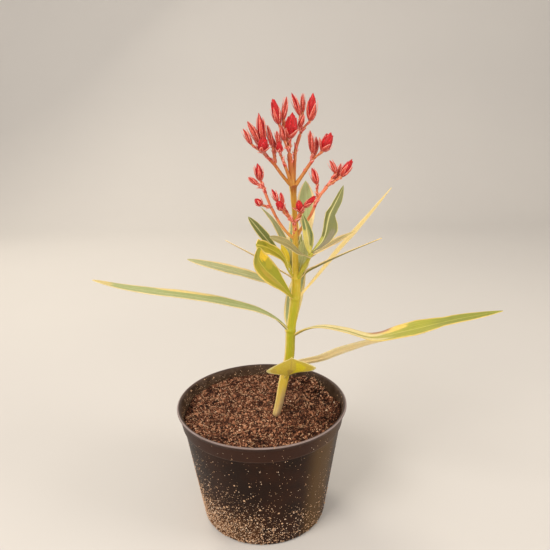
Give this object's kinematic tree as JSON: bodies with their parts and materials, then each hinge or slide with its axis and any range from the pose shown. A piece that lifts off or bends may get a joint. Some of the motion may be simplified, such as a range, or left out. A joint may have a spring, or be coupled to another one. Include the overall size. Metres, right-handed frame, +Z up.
{
  "type": "potted plant",
  "caption": "Young potted oleander: a leaning stem with long cream-edged leaves and forked twigs of opening flower buds, in a round nursery pot.",
  "frame": {"origin": "centre of the pot's flat underside", "axes": "+Z up along the pot's axis; the stem leans a little to +X and the broad leaves spread along X; -Y is the front"},
  "size_m": [0.2887, 0.1764, 0.345],
  "materials": {
    "pot": "black-brown moulded plastic with a soft sheen and dried soil dust",
    "soil": "loose red-brown peat with fibres and pale grains",
    "stem": "smooth yellow-green bark, grey towards the foot",
    "twig": "smooth orange-brown flower stalks",
    "bud": "satin coral sepals and bright red petals",
    "leaf": "leathery grey-green and dark green with cream margins and yellow patches"
  },
  "bodies": {
    "root": {"pot": "pot", "soil": "soil", "stem": "stem", "shoot_right": "stem", "shoot_left": "stem", "flower_stalk_low_right": "twig", "flower_stalk_low_left": "twig", "flower_stalk_front": "twig", "branch_left": "twig", "branch_centre": "twig", "branch_centre_left": "twig", "branch_top": "twig", "branch_right": "twig", "buds_left": "bud", "buds_mid_left": "bud", "buds_centre_left": "bud", "buds_centre": "bud", "buds_top": "bud", "buds_right": "bud", "buds_low_right": "bud", "bud_side_right": "bud", "buds_low_left": "bud", "bud_round_left": "bud", "buds_front_left": "bud", "buds_front_right": "bud", "leaf_long_left": "leaf", "leaf_upper_left": "leaf", "leaf_front_left": "leaf", "leaf_arched_left": "leaf", "leaf_thin_left": "leaf", "leaf_front_low": "leaf", "leaf_low_right": "leaf", "leaf_arched_right": "leaf", "leaf_tall_right": "leaf", "leaf_thin_right": "leaf", "leaf_stem_right": "leaf", "leaf_back_low": "leaf", "leaf_back_high": "leaf", "leaf_shoot_back_right": "leaf", "leaf_shoot_wavy": "leaf", "leaf_shoot_front": "leaf", "leaf_shoot_tall": "leaf", "leaf_shoot_crossing": "leaf", "leaf_left_outer": "leaf", "leaf_left_inner": "leaf", "leaf_left_small": "leaf", "leaf_left_back": "leaf"}
  },
  "joints": []
}
